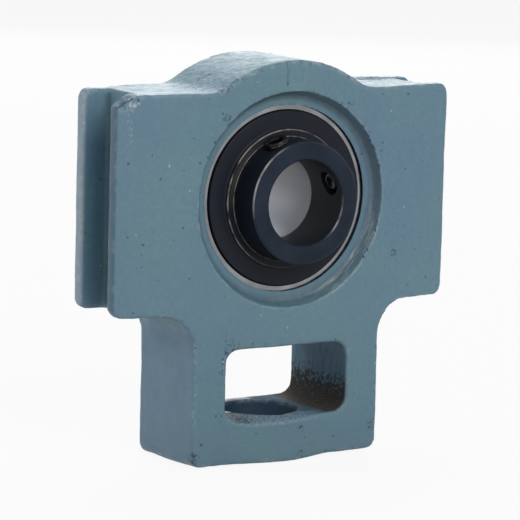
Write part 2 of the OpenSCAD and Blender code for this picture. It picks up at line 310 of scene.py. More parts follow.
class Finish(Nodes):
    """A procedural material in the making, its tone laid in layers."""

    def __init__(self, name, **sockets):
        self.material = bpy.data.materials.new(name)
        self.material.use_nodes = True
        super().__init__(self.material.node_tree)
        self.shader = self.tree.nodes["Principled BSDF"].inputs
        for key, value in sockets.items():
            self.shader[key.replace("_", " ")].default_value = value
        self.place = self.add("ShaderNodeTexCoord")["Object"]
        self.axes = self.add("ShaderNodeSeparateXYZ", {0: self.place})
        self.x, self.y, self.z = self.axes
        self.tone = None

    def attribute(self, name):
        """A value kept on the mesh's points."""
        return self.add("ShaderNodeAttribute", attribute_name=name)["Fac"]

    def ramp(self, axis, begin, full, start=0.0, end=1.0):
        """start turning into end along an axis, between two places in millimetres."""
        return self.spread(self.axes[axis], begin * MM, full * MM, start, end)

    def region(self, *sides):
        """1 in a region of the skin and 0 outside."""
        return self.product(*(self.ramp(*row) for side in sides for row in side))

    def band(self, value, centre, half):
        """1 within half of centre, fading to 0 over as much again."""
        gap = self.maths("ABSOLUTE", self.maths("SUBTRACT", value, centre))
        return self.spread(gap, half, 2 * half, 1.0, 0.0)

    def vector(self, kind, first, second=(0, 0, 0)):
        """A Vector Math node's outputs."""
        return self.add("ShaderNodeVectorMath", {0: first, 1: second}, operation=kind)

    def near(self, centre, reach):
        """1 at a place, falling to 0 at reach, both in millimetres."""
        gap = self.vector("DISTANCE", self.place, scaled(centre, MM))["Value"]
        return self.spread(gap, 0.0, reach * MM, 1.0, 0.0)

    def facing(self, toward, low, high):
        """1 on the unit's side toward a direction."""
        along = self.vector("NORMALIZE", self.place)["Vector"]
        return self.spread(self.vector("DOT_PRODUCT", along, toward)["Value"], low, high)

    def radius(self):
        """Distance from the bore's axis."""
        flat = self.vector("MULTIPLY", self.place, (1, 0, 1))["Vector"]
        return self.vector("LENGTH", flat)["Value"]

    def mapped(self, **change):
        """The place after a Mapping node's change."""
        return self.add("ShaderNodeMapping", {"Vector": self.place, **change})["Vector"]

    def grain(self, scale, detail=2.0, rough=0.5, place=None):
        """Noise of that many waves a metre."""
        inputs = {"Vector": place or self.place, "Scale": scale, "Detail": detail, "Roughness": rough}
        return self.add("ShaderNodeTexNoise", inputs)["Fac"]

    def cloud(self, scale, given, wanted=(0.0, 1.0), **kind):
        """Noise taken from the given range to the wanted one."""
        return self.spread(self.grain(scale, **kind), *given, *wanted)

    def spots(self, scale, rare, reach, place=None):
        """1 in ragged spots of chance width and 0 elsewhere."""
        cells = self.add("ShaderNodeTexVoronoi", {"Vector": place or self.place, "Scale": scale})
        chance = self.add("ShaderNodeSeparateColor", {0: cells["Color"]})["Red"]
        width = self.spread(chance, rare, 1.0, 0.0, reach)
        border = self.cloud(5 * scale, (0.25, 0.75), (-0.6 * reach, 0.6 * reach), place=place)
        return self.maths("LESS_THAN", self.maths("ADD", cells["Distance"], border), width)

    def lay(self, tone, *shares):
        """Lays a tone over the present one."""
        self.tone = self.mix(self.product(*shares), self.tone, tone)

    def feed(self, socket, output):
        """Links an output to a socket of the shader."""
        self.tree.links.new(output, self.shader[socket])

    def done(self, height, distance, strength):
        """The material with its tone and its bump."""
        bump = self.add("ShaderNodeBump", {"Height": height, "Distance": distance, "Strength": strength})
        self.feed("Base Color", self.tone)
        self.feed("Normal", bump["Normal"])
        return self.material


# Paint of the casting


def paint_tones(skin, look):
    """Two blue-grey tones in soft drifts, a little darker towards the bottom, painted light on faces turned
    to the left, and painted shade in sheltered places.
    """
    # Painted light: the front flange's left tip and the lug's left side take the bluer tone of faces lit
    # from the left
    tip = skin.product(skin.region(FLANGE_TIP), 0.7)
    drift_and_painted_light = skin.most(skin.cloud(42, (0.38, 0.64)), tip, skin.region(LUG_SIDE))
    blend = {0: skin.mix(drift_and_painted_light, look.paint, look.paint_cool)}
    blend["Scale"] = skin.cloud(900, WIDE, (0.94, 1.06), **DENSE)
    skin.tone = skin.add("ShaderNodeVectorMath", blend, operation="SCALE")["Vector"]
    skin.lay(look.pit, skin.ramp("Z", -26.0, -60.0, 0.0, 0.12))
    # Painted shade in sheltered places
    skin.lay(look.shade, skin.attribute("deep"), 0.8)


def wear_edges(skin, look):
    """Pale rubbed edges that also stand in for edge highlights, with dark nibs; painted light on the rear
    flange's end, and painted shade in the hollows.
    """
    edge = skin.attribute("edge")
    arch = skin.region(ARCH_EDGE)
    flecks = skin.cloud(420, (0.5, 0.6), **FLAKY)
    # Rubbed wear on the edges, which also stands in for their highlights
    wear_and_highlight = skin.product(skin.spread(edge, 0.12, 0.55), flecks, skin.spread(arch, 0.0, 1.0, 0.22, 0.42))
    # Painted light: the rear flange's left end paler, in rubbed-looking flecks
    painted_light_end = skin.product(skin.region(REAR_FLANGE_END), skin.spread(flecks, 0.0, 1.0, 0.3, 0.42))
    skin.lay(look.chip, skin.most(wear_and_highlight, painted_light_end))
    nibs = skin.cloud(640, (0.54, 0.6), **FLAKY)
    skin.lay(look.pit, skin.spread(edge, 0.1, 0.4), arch, nibs, 0.55)
    # Painted shade in the hollows
    skin.lay(look.pit, skin.spread(edge, -0.08, -0.5, 0.0, 0.55))


def painted_recess_light(skin, look):
    """Painted highlights as pale streaks on the recess's wall at its lower right, and a little painted
    light on its right wall.
    """
    radius = skin.radius()
    turn = skin.product(skin.maths("ARCTAN2", skin.x, skin.z), 4.0 * MM)
    drawn = skin.joined(X=radius, Y=skin.y, Z=turn)
    wall = skin.product(skin.band(radius, RECESS_R - 0.5 * MM, 0.6 * MM), skin.region(RECESS_FRONT))
    highlight_streaks = skin.cloud(1300, (0.47, 0.62), place=drawn, **FLAKY)
    lower_right = skin.facing((0.77, -0.3, -0.56), 0.78, 0.96)
    right = skin.facing((0.9, -0.3, 0.2), 0.3, 0.9)
    # Painted highlights on the lower right wall, and a little painted light on the right wall
    bright_share = skin.product(wall, lower_right, highlight_streaks, 0.5)
    skin.lay(look.chip, skin.most(bright_share, skin.product(wall, right, 0.1)))


def speckle(skin, look):
    """Dark pits and dust, pale nicks and crumbs by the window. Gives the pits back."""
    pits = skin.spots(520, rare=0.7, reach=0.17)
    skin.lay(look.pit, pits, 0.7)
    skin.lay(look.pit, skin.spots(1500, rare=0.72, reach=0.3), 0.2)
    shifted = skin.mapped(Location=(0.31, 0.17, 0.53))
    skin.lay(look.chip, skin.spots(400, rare=0.8, reach=0.12, place=shifted), 0.5)
    beside = skin.band(skin.x, -17.2 * MM, 0.9 * MM)
    level = skin.band(skin.z, -41.0 * MM, 7.0 * MM)
    crumbs = skin.spots(1300, rare=0.3, reach=0.4)
    skin.lay(look.pit, beside, skin.region(LUG_FRONT), level, crumbs, 0.8)
    return pits


def cast_marks(skin, look):
    """The dark cast marks, and a faint bent seam on the arch's front."""
    ragged = skin.cloud(900, (0.5, 0.58), **SANDY)
    for *centre, reach in MARKS:
        skin.lay(look.pit, skin.spread(skin.near(centre, reach), 0.0, 0.5), ragged, 0.85)
    bent = skin.maths("ADD", skin.x, skin.cloud(350, WIDE, (-0.3 * MM, 0.3 * MM)))
    skin.lay(look.pit, skin.band(bent, -2.1 * MM, 0.16 * MM), skin.region(ARCH_FRONT), 0.28)


def chip_corner(skin, look):
    """Chipped paint at the broken corner, and a trail of flecks below it."""
    line = skin.band(skin.x, -42.2 * MM, 0.45 * MM)
    specks = skin.cloud(1700, (0.53, 0.6), **SANDY)
    trail = skin.product(line, skin.region(FLANGE_FACE), specks, 0.4)
    round_corner = skin.spread(skin.near(*CHIPPED_CORNER), 0.1, 0.45)
    corner = skin.product(round_corner, skin.cloud(650, (0.52, 0.58), **FLAKY), 0.7)
    skin.lay(look.chip, skin.most(corner, trail), 0.85)


def sand_crust(skin, look):
    """Speckles where sand is burnt in; the pale ones on the sill also stand in for the glints of its rough
    surface. Gives the crust back.
    """
    crust = skin.attribute("crust")
    above = skin.maths("GREATER_THAN", skin.z, 0.0)
    speckles = skin.cloud(2300, (0.49, 0.6), (0.0, 0.42), **SANDY)
    # Pale speckles on the sill, partly painted glints; brown ones on the top
    skin.lay(skin.mix(above, look.chip, look.burnt), crust, speckles)
    return crust


def burn_window(skin, look):
    """Runs and a burnt foot on the window's right wall. Gives the window's inside back."""
    low = skin.ramp("Z", -40.5, -50.0)
    spill = skin.maths("ADD", skin.x, skin.ramp("Z", -47.0, -51.0, 0.0, 3.4 * MM))
    inside = skin.region(WINDOW_WIDTH, WINDOW_DEPTH, WINDOW_HEIGHT)
    wall = skin.product(skin.spread(spill, 12.0 * MM, 15.0 * MM), inside)
    skin.lay(look.paint_cool, wall, 0.9)
    upright = skin.mapped(Scale=(1.0, 1.0, 0.12))
    skin.lay(look.shade, wall, skin.cloud(1500, (0.48, 0.62), (0.0, 0.42), place=upright, **SANDY))
    ragged = skin.maths("ADD", skin.grain(1100, **RAGGED), skin.product(low, 0.3))
    patch = skin.product(wall, skin.spread(ragged, 0.56, 0.68), skin.spread(low, 0.05, 0.4))
    skin.lay(look.burnt, patch)
    skin.lay(look.chip, patch, skin.spots(2400, rare=0.72, reach=0.34), 0.28)
    return inside


def paint_finish(look):
    """Worn blue-grey paint over a sand-cast skin."""
    skin = Finish("casting_paint", Specular_IOR_Level=0.38)
    paint_tones(skin, look)
    wear_edges(skin, look)
    painted_recess_light(skin, look)
    pits = speckle(skin, look)
    cast_marks(skin, look)
    chip_corner(skin, look)
    crust = sand_crust(skin, look)
    inside = burn_window(skin, look)

    gloss = skin.cloud(300, WIDE, (0.42, 0.56), **CLOUDY)
    dull = skin.product(inside, skin.region(WINDOW_RIGHT), skin.ramp("Z", -36.0, -46.0, 0.6, 0.9))
    skin.feed("Roughness", skin.most(gloss, dull, skin.product(crust, 0.76)))

    rolling = skin.product(skin.grain(420, **CLOUDY), 1.6)
    height = skin.maths("ADD", skin.grain(1500, **DENSE), rolling)
    height = skin.maths("SUBTRACT", height, skin.product(pits, 1.2))
    coarse = skin.spread(skin.attribute("grit"), 0.3, 1.0, 1.0, 3.0)
    return skin.done(skin.product(height, coarse), distance=0.05 * MM, strength=0.6)


# Finishes of the insert and the screws


def steel_finish(name, bright, rough, grooves, shade):
    """Ground or polished steel with fine turned lines round the bore."""
    steel = Finish(name, Metallic=1.0)
    turned = steel.joined(X=steel.radius(), Y=steel.y)
    lines = steel.grain(grooves, place=turned, **FINE)
    steel.tone = steel.mix(steel.cloud(160, MIDDLE, **CLOUDY), bright, scaled(bright, shade))
    steel.feed("Roughness", steel.spread(lines, *WIDE, rough, 1.6 * rough))
    return steel.done(lines, distance=0.004 * MM, strength=0.5)


def painted_rim_highlights(ring, radius):
    """Share of painted highlight on the inner ring's two front rims, on the sides that face the light."""
    edge = ring.spread(ring.y, INNER_FRONT + 0.7 * MM, INNER_FRONT + 0.5 * MM)
    left = ring.facing((-0.55, -0.78, 0.3), 0.9, 0.99)
    outer = ring.product(ring.band(radius, INNER_R - 0.22 * MM, 0.1 * MM), edge, left)
    mouth = ring.spread(ring.y, INNER_FRONT + 0.6 * MM, INNER_FRONT + 0.4 * MM)
    right = ring.facing((0.44, -0.87, -0.2), 0.955, 0.998)
    inner = ring.product(ring.band(radius, BORE_R + 0.2 * MM, 0.1 * MM), mouth, right)
    return ring.product(ring.most(outer, inner), ring.cloud(260, (0.25, 0.55), (0.0, 0.8)))


def oxide_finish(look):
    """Black-oxide inner ring with a ground bore behind its dark front part."""
    ring = Finish("inner_ring_oxide", Specular_IOR_Level=0.1)
    radius = ring.radius()
    turned = ring.joined(X=radius, Y=ring.y)
    oxide, ground = look.black_oxide, look.ground_steel
    ring.tone = ring.mix(ring.cloud(120, MIDDLE, **CLOUDY), oxide, scaled(oxide, 0.65))
    # Painted shade darkens the bore; the outer barrel is made darker too
    bore = ring.maths("LESS_THAN", radius, BORE_R + 0.1 * MM)
    barrel = ring.spread(radius, INNER_R - 0.15 * MM, INNER_R - 0.05 * MM, 0.0, 0.7)
    ring.lay(scaled(oxide, 0.3), ring.most(bore, barrel))

    start = INNER_FRONT + look.oxide_depth
    bright = ring.product(bore, ring.spread(ring.y, start, start + 0.3 * MM))
    # Painted reflection: the ground bore lighter and cooler towards its lower side
    steel = ring.mix(ring.ramp("Z", 6.0, -8.0), scaled(ground, 0.62), look.bore_reflection_tone)
    soft_lines = ring.cloud(700, WIDE, (0.0, 0.35), place=turned)
    ring.lay(ring.mix(soft_lines, steel, scaled(ground, 0.75)), bright)

    bright_share = painted_rim_highlights(ring, radius)
    # Painted highlights on the rims, in bright bare steel
    ring.lay(look.rim_highlight_steel, bright_share)
    ring.feed("Metallic", ring.product(ring.most(bright, bright_share), 0.85))
    lines = ring.grain(2600, place=turned, **FINE)
    sheen = ring.spread(lines, *WIDE, 0.3, 0.42)
    ring.feed("Roughness", ring.maths("ADD", sheen, ring.product(bore, 0.14)))
    return ring.done(lines, distance=0.006 * MM, strength=0.5)


def black_sheet_finish(look):
    """Black pressed sheet with rubbed rims that also stand in for edge highlights, painted light on their
    upper left, a painted highlight on the collar and fine drawing lines.
    """
    sheet = Finish("flinger_black", Specular_IOR_Level=0.12)
    radius = sheet.radius()
    red, green, blue = look.pressed_black
    warm = (1.3 * red, green, 0.85 * blue)
    sheet.tone = sheet.mix(sheet.cloud(140, MIDDLE, **CLOUDY), look.pressed_black, warm)

    rim = -FLINGER_LOW.y
    raised = sheet.spread(sheet.maths("ABSOLUTE", sheet.y), rim - 0.35 * MM, rim - 0.2 * MM)
    outer = sheet.band(radius, COLLAR_R - 0.1 * MM, 0.1 * MM)
    inner = sheet.band(radius, INNER_R + 0.2 * MM, 0.12 * MM)
    patchy = sheet.cloud(330, (0.36, 0.56), **DENSE)
    # Painted light: the rims brighter toward the upper left, where the light falls
    lit_side = sheet.spread(sheet.facing((-0.8, 0.0, 0.6), -0.5, 0.5), 0.0, 1.0, 0.2, 1.0)
    wear_and_highlight = sheet.product(sheet.most(outer, inner), raised, patchy, lit_side)
    # Painted highlight on the collar's face where it faces the light, along its drawing lines
    collar = sheet.band(radius, INNER_R + 1.0 * MM, 0.5 * MM)
    lit = sheet.facing((-0.78, -0.4, 0.48), 0.8, 0.97)
    lines = sheet.cloud(5200, (0.5, 0.64), (0.0, 0.7), place=sheet.joined(X=radius), **FINE)
    sheet.lay(look.rim_wear_and_highlight, sheet.most(wear_and_highlight, sheet.product(collar, lit, raised, lines)))

    fine = sheet.grain(1800, **FINE)
    sheet.feed("Roughness", sheet.spread(fine, *WIDE, 0.26, 0.36))
    return sheet.done(fine, distance=0.008 * MM, strength=0.5)


def rubber_finish(look):
    """Matt seal rubber with a fine moulded grain."""
    rubber = Finish("seal_rubber")
    rubber.tone = rubber.mix(rubber.cloud(200, (0.4, 0.7), **CLOUDY), look.rubber, scaled(look.rubber, 1.8))
    fine = rubber.grain(2200, **FINE)
    rubber.feed("Roughness", rubber.spread(fine, *WIDE, 0.62, 0.8))
    return rubber.done(fine, distance=0.02 * MM, strength=0.6)


def screw_finish(look):
    """Dark oiled steel with a little worn brightness."""
    screw = Finish("screw_steel", Metallic=0.85)
    bright_share = screw.cloud(900, (0.5, 0.7), **DENSE)
    screw.tone = screw.mix(screw.product(bright_share, 0.5), look.steel, scaled(look.steel, 4.0))
    screw.feed("Roughness", screw.spread(bright_share, 0.0, 1.0, 0.34, 0.24))
    return screw.done(bright_share, distance=0.01 * MM, strength=0.4)


# Mesh helpers


def smooth(mesh):
    """Shades every face smooth."""
    mesh.polygons.foreach_set("use_smooth", [True] * len(mesh.polygons))


def linked(name, data):
    """A new object in the scene."""
    made = bpy.data.objects.new(name, data)
    bpy.context.scene.collection.objects.link(made)
    return made


def piece(name, mesh, material, body, slot, *stands_for):
    """Links a mesh as a piece that rides on a body and stands for packed nodes."""
    if not mesh.polygons:
        raise RuntimeError(name + " has no faces")
    made = linked(name, mesh)
    mesh.materials.clear()
    mesh.materials.append(material)
    mesh.polygons.foreach_set("material_index", [0] * len(mesh.polygons))
    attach(made, body)
    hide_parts(*stands_for)


def dress(names, material):
    """Gives packed nodes their finish."""
    for name in names:
        slots = frame["nodes"][name].data.materials
        slots.clear()
        slots.append(material)


def merged_copy(name):
    """A copy of a packed node's mesh with its loose triangles merged."""
    mesh = frame["nodes"][name].data.copy()
    work = bmesh.new()
    work.from_mesh(mesh)
    bmesh.ops.remove_doubles(work, verts=work.verts, dist=0.002 * MM)
    work.to_mesh(mesh)
    work.free()
    return mesh


def evaluated(holder):
    """The plain mesh of an object with modifiers. The object is removed."""
    bpy.context.scene.collection.objects.link(holder)
    shown = holder.evaluated_get(bpy.context.evaluated_depsgraph_get())
    mesh = bpy.data.meshes.new_from_object(shown)
    bpy.data.objects.remove(holder)
    return mesh


def even_mesh(mesh, step):
    """The same closed shape on an even grid of small faces."""
    holder = bpy.data.objects.new("even_grid", mesh)
    grid = holder.modifiers.new("grid", "REMESH")
    grid.mode = "VOXEL"
    grid.voxel_size = step
    return evaluated(holder)


def array_of(source, key):
    """A vector of each item of source, as an array."""
    flat = np.empty(3 * len(source), np.float32)
    source.foreach_get(key, flat)
    return flat.reshape(-1, 3).astype(float)


def place_points(mesh, points):
    """Writes points back to the mesh."""
    mesh.vertices.foreach_set("co", points.astype(np.float32).ravel())
    mesh.update()


def keep_values(mesh, name, values):
    """Keeps one value for each point of the mesh."""
    kept = mesh.attributes.new(name, "FLOAT", "POINT")
    kept.data.foreach_set("value", values.astype(np.float32))


def links_of(mesh):
    """Both ends of each edge, and how many edges meet at each point."""
    ends = np.empty(2 * len(mesh.edges), np.int32)
    mesh.edges.foreach_get("vertices", ends)
    return *ends.reshape(-1, 2).T, np.bincount(ends, minlength=len(mesh.vertices))


def neighbour_mean(values, links):
    """Mean of each point's neighbours, column by column."""
    first, second, meeting = links
    total = np.zeros_like(values)
    for column, row in enumerate(values.T):
        total[:, column] += np.bincount(first, row[second], len(values))
        total[:, column] += np.bincount(second, row[first], len(values))
    return total / meeting[:, None]


def step_up(value, low, high):
    """0 below low, 1 above high, smooth between."""
    share = np.clip((value - low) / (high - low), 0, 1)
    return share * share * (3 - 2 * share)


def over(value, limit):
    """1 above the limit, falling to 0 one soft border below it."""
    return step_up(value, limit - SOFT, limit)


def under(value, limit):
    """1 below the limit, falling to 0 one soft border above it."""
    return step_up(limit + SOFT - value, 0, SOFT)


def noise_at(points, wave, seed):
    """Smooth noise in -1..1 at each point, of that wavelength."""
    shift = Vector((13.1, 7.7, 3.3)) * seed
    return np.array([noise.noise(Vector(point) / wave + shift) for point in points])


def plain(radius):
    """The radius of a round ring, as a function of the angle."""
    return lambda turn: radius


def ring_stack(name, rings, around):
    """A closed mesh of rings along Z, each a radius by angle and a height."""
    mesh = bpy.data.meshes.new(name)
    work = bmesh.new()
    turns = [2 * math.pi * i / around for i in range(around)]
    made = []
    for radius, z in rings[1:-1]:
        made.append([work.verts.new((radius(t) * math.cos(t), radius(t) * math.sin(t), z)) for t in turns])
    first, last = (work.verts.new((0, 0, rings[end][1])) for end in (0, -1))
    for i in range(around):
        j = (i + 1) % around
        work.faces.new((first, made[0][j], made[0][i]))
        work.faces.new((last, made[-1][i], made[-1][j]))
        for low, high in zip(made, made[1:]):
            work.faces.new((low[i], low[j], high[j], high[i]))
    bmesh.ops.recalc_face_normals(work, faces=work.faces)
    work.to_mesh(mesh)
    work.free()
    return mesh


# Geometry Nodes


class Rule(Nodes):
    """A Geometry Nodes tree in the making, with a named input for each value."""

    def __init__(self, name, **values):
        super().__init__(bpy.data.node_groups.new(name, "GeometryNodeTree"))
        self.values = {key.replace("_", " "): value for key, value in values.items()}
        kinds = {float: "Float", int: "Int", bpy.types.Material: "Material"}
        self.socket("Geometry", "INPUT", "Geometry")
        for label, value in self.values.items():
            self.socket(label, "INPUT", kinds[type(value)])
        self.socket("Geometry", "OUTPUT", "Geometry")
        self.given = self.add("NodeGroupInput")

    def socket(self, label, side, kind):
        """Adds an input or output of the tree."""
        self.tree.interface.new_socket(label, in_out=side, socket_type="NodeSocket" + kind)

    def run(self, geometry, mesh):
        """Closes the tree, and gives the plain mesh that it makes from a mesh."""
        solid = self.add("GeometryNodeRealizeInstances", {0: geometry})[0]
        inputs = {"Geometry": solid, "Material": self.given["Material"]}
        self.add("NodeGroupOutput", {"Geometry": self.add("GeometryNodeSetMaterial", inputs)[0]})
        holder = bpy.data.objects.new(self.tree.name, mesh)
        modifier = holder.modifiers.new(self.tree.name, "NODES")
        modifier.node_group = self.tree
        for socket in self.tree.interface.items_tree:
            if socket.name in self.values:
                modifier[socket.identifier] = self.values[socket.name]
        return evaluated(holder)


def turned_sheet(section, **values):
    """Sweeps a half section round the bore, with rounded edges."""
    rule = Rule("turned_sheet", **values)
    given = rule.given
    curve = rule.add("GeometryNodeMeshToCurve", {0: given["Geometry"]})[0]
    fillet = {"Radius": given["Edge rounding"], "Count": given["Edge steps"], "Limit Radius": True}
    rounded = rule.add("GeometryNodeFilletCurve", {"Curve": curve, **fillet}, mode="POLY")[0]
    offset = rule.joined(X=rule.product(given["Path radius"], -1.0))
    centred = rule.add("GeometryNodeSetPosition", {"Geometry": rounded, "Offset": offset})[0]
    circle = {"Resolution": given["Turn steps"], "Radius": given["Path radius"]}
    path = rule.add("GeometryNodeCurvePrimitiveCircle", circle)[0]
    upright = rule.add("GeometryNodeSetCurveNormal", {0: path}, mode="Z_UP")[0]
    swept = rule.add("GeometryNodeCurveToMesh", {"Curve": upright, "Profile Curve": centred})[0]
    return rule.run(swept, section)


def ring_of_rivets(rivet, **values):
    """Sets one rivet at even angles on the pitch circle."""
    rule = Rule("ring_of_rivets", **values)
    given = rule.given
    pitch = {"Vertices": given["Count"], "Radius": given["Pitch radius"]}
    circle = rule.add("GeometryNodeMeshCircle", pitch)[0]
    turn = rule.joined(Z=given["Start angle"])
    turned = rule.add("GeometryNodeTransform", {"Geometry": circle, "Rotation": turn})[0]
    lift = {"Geometry": turned, "Rotation": (math.pi / 2, 0, 0)}
    upright = rule.add("GeometryNodeTransform", lift)[0]
    rivets = {"Points": upright, "Instance": given["Geometry"]}
    return rule.run(rule.add("GeometryNodeInstanceOnPoints", rivets)[0], rivet)


def burnt_grit(skin, **values):
    """Scatters flat grains over a cast skin where its grit values allow."""
    rule = Rule("burnt_grit", **values)
    given = rule.given
    mask = rule.add("GeometryNodeInputNamedAttribute", {"Name": "grit"}, data_type="FLOAT")
    density = rule.product(mask["Attribute"], given["Count a square metre"])
    scatter = {"Mesh": given["Geometry"], "Density": density, "Seed": given["Seed"]}
    found = rule.add("GeometryNodeDistributePointsOnFaces", scatter)
    lump = rule.add("GeometryNodeMeshIcoSphere", {"Radius": 0.5, "Subdivisions": 1})["Mesh"]
    flat = rule.add("GeometryNodeTransform", {"Geometry": lump, "Scale": (1.0, 0.8, 0.45)})[0]
    share = {2: 0.45, 3: 1.5, "Seed": given["Seed"]}
    chance = rule.add("FunctionNodeRandomValue", share, data_type="FLOAT")[1]
    grains = {"Points": found["Points"], "Instance": flat, "Rotation": found["Rotation"]}
    grains["Scale"] = rule.product(chance, given["Grain width"])
    both = rule.add("GeometryNodeJoinGeometry", {0: given["Geometry"]})[0]
    rule.tree.links.new(rule.add("GeometryNodeInstanceOnPoints", grains)[0], both.node.inputs[0])
    return rule.run(both, skin)


# Shape of the casting


def corner_run(x):
    """How far each point lies past the start of the broken corner."""
    return np.maximum(0, HOUSING_LOW.x + CORNER_REACH - x)


def break_height(x):
    """Height of the broken corner's sloping face."""
    return RAIL_TOP - CORNER_SLOPE * corner_run(x)


def sink_sill(points, dip):
    """Sinks the window's front sill, most of all in its middle."""
    x, y, z = points.T
    along = step_up(x, -17 * MM, -8 * MM) * (1 - step_up(x, -2 * MM, 15 * MM))
    level = step_up(z, WINDOW_FLOOR - 6 * MM, WINDOW_FLOOR) * (z < WINDOW_FLOOR + 1 * MM)
    z -= dip * along * level * np.clip((-y - 9.3 * MM) / (2.6 * MM), 0, 1)


def raise_foot(points, rise):
    """Raises the lug's foot at its right, and half as much at its left front."""
    x, y, z = points.T
    low = step_up(-z, 54 * MM, -HOUSING_LOW.z)
    left_front = step_up(-x, 2 * MM, 16 * MM) * step_up(-y, -4 * MM, 12 * MM)
    z += rise * low * (step_up(x, 2.5 * MM, 13 * MM) + 0.5 * left_front)


def break_corner(points):
    """Breaks the front flange's upper left corner, and leans the flange back there."""
    x, y, z = points.T
    slope = break_height(x)
    broken = (corner_run(x) > 0) & (y < 0.2 * MM - GROOVE_HALF) & (z > slope)
    z[broken] = slope[broken]
    y += 0.06 * corner_run(x) * (y < -8 * MM)


def sink_strip(points):
    """Sinks a narrow strip on the arch's front."""
    x, y, z = points.T
    strip = step_up(x, -2.2 * MM, -1.8 * MM) * (1 - step_up(x, 2.4 * MM, 2.9 * MM))
    y += 0.2 * MM * strip * (y < HOUSING_LOW.y + 0.6 * MM) * step_up(z, 26 * MM, 27.5 * MM)


def draw_to_rim(points, radius, height):
    """Draws the points near a turned rim onto it."""
    across = np.hypot(points[:, 0], points[:, 2])
    gap = np.hypot(across - radius, points[:, 1] - height)
    pull = 0.9 * (1 - step_up(gap, 0.4 * MM, 0.7 * MM))
    points[:, [0, 2]] *= (1 + pull * (radius / across - 1))[:, None]
    points[:, 1] += pull * (height - points[:, 1])


def machine_seat(points):
    """Sets the seat a little clear of the ring, and cleans its rims and the recess's."""
    clear = SEAT_SPHERE + 0.22 * MM
    points *= np.maximum(1.0, clear / np.linalg.norm(points, axis=1))[:, None]
    for side in (-SEAT_HALF, SEAT_HALF):
        draw_to_rim(points, math.sqrt(clear**2 - SEAT_HALF**2), side)
    wobble = 0.14 * MM * noise_at(points, wave=2.3 * MM, seed=7)
    draw_to_rim(points, RECESS_R + wobble, HOUSING_LOW.y)


def carve_chip(points, normals, centre, reach, depth, seed):
    """Breaks away a ragged chip of the skin round centre."""
    gap = np.linalg.norm(points - np.array(centre), axis=1) / reach
    share = np.clip(1 - gap * gap, 0, 1) ** 2
    inside = share > 0
    ragged = np.zeros(len(points))
    ragged[inside] = 1 + 0.8 * noise_at(points[inside], 0.9 * MM, seed)
    return points - normals * (depth * share * ragged)[:, None]


def sand_skin(points, normals, rough, look):
    """The points with the cast skin's waves, grain and chips."""
    long_wave = look.wave * noise_at(points, wave=9 * MM, seed=1)
    short_wave = 0.45 * look.wave * noise_at(points, wave=3.1 * MM, seed=2)
    top = step_up(normals[:, 2], 0.3, 0.8) * (points[:, 2] > RAIL_TOP - 4 * MM)
    fine = noise_at(points, wave=1.1 * MM, seed=3) + 0.8 * top * noise_at(points, wave=1.9 * MM, seed=4)
    skin = long_wave + short_wave + (1 + 1.6 * top) * look.grain * fine
    points = points + normals * (skin * rough)[:, None]
    for from_left, from_top, reach, depth, seed in CHIPS:
        centre = (HOUSING_LOW.x + from_left * MM, FLANGE_FRONT, RAIL_TOP - from_top * MM)
        points = carve_chip(points, normals, centre, reach * MM, depth * MM, seed)
    return points


def flange_shade(x, y, z):
    """Painted shade on the front flange's left end and its broken corner."""
    tip = 0.62 * over(-x, -HOUSING_LOW.x - 0.2 * MM) * over(-y, GROOVE_HALF + SOFT)
    cut = break_height(x) - 0.35 * MM
    return np.maximum(tip, 0.7 * over(corner_run(x), SOFT) * (y < -GROOVE_HALF) * (z > cut))


def window_shade(x, y, z):
    """Painted shade in the window, little of it on the front sill."""
    inside = under(np.abs(x), WINDOW_HALF) * over(z, WINDOW_FLOOR) * under(z, WINDOW_TOP)
    inside *= step_up(-HOUSING_LOW.y - np.abs(y), 0.2 * MM, 0.8 * MM)
    fall = 0.26 + 0.66 * step_up(-z, 38 * MM, 50 * MM)
    sill = step_up(-y, HOLE_R - SOFT, HOLE_R + SOFT) * (z < WINDOW_FLOOR + 2 * SOFT)
    return inside * fall * (1 - 0.8 * sill * step_up(x, -11 * MM, -7 * MM))


def recess_shade(x, y, z):
    """Light painted shade in the recess, more along its rim at the upper left."""
    radius = np.hypot(x, z)
    upper_left = step_up(z, 10 * MM, 17 * MM) * step_up(-x, -6 * MM, 2 * MM)
    share = 0.13 + 0.32 * over(radius, RECESS_R - 0.6 * MM) * upper_left
    return share * under(radius, RECESS_R) * (y < -7 * MM)


def hole_shade(x, y, z):
    """The darkest painted shade, in the screw hole."""
    return 1.12 * under(np.hypot(x, y), HOLE_R) * (z < WINDOW_FLOOR + SOFT)


def painted_shade_at(points):
    """How much painted shade each point gets."""
    shades = (flange_shade, window_shade, recess_shade, hole_shade)
    return np.max([shade(*points.T) for shade in shades], axis=0)


def crusted(points):
    """Where sand is burnt in: on the window's front sill and the top's rear right."""
    x, y, z = points.T
    corner = step_up(-y, 8 * MM, 10 * MM)
    sill = over(np.hypot(x, y), HOLE_R) * step_up(-y, 1 * MM, 4 * MM)
    sill *= step_up(y - HOUSING_LOW.y, -0.1 * MM, SOFT)
    sill *= step_up(z, WINDOW_FLOOR - 4 * SOFT, WINDOW_FLOOR - 2 * SOFT)
    sill *= under(z, WINDOW_FLOOR + 3 * (1 + corner) * SOFT)
    sill *= under(np.abs(x), WINDOW_HALF) * (1 - step_up(x, 3 * MM, 9 * MM))
    gap = np.hypot((x - 34 * MM) / (9 * MM), (y - 5.5 * MM) / (5 * MM))
    return np.maximum(sill, (1 - step_up(gap, 0.5, 1.0)) * over(z, RAIL_TOP - SOFT))


def edge_share(points, normals, links, step):
    """How far the skin bends: up to 1 on edges, down to -1 in hollows."""
    inward = neighbour_mean(points, links) - points
    edge = np.clip(-np.einsum("ij,ij->i", inward, normals) / (0.2 * step), -1, 1)
    for _ in range(2):
        edge = 0.5 * edge + 0.5 * neighbour_mean(edge[:, None], links)[:, 0]
    return edge


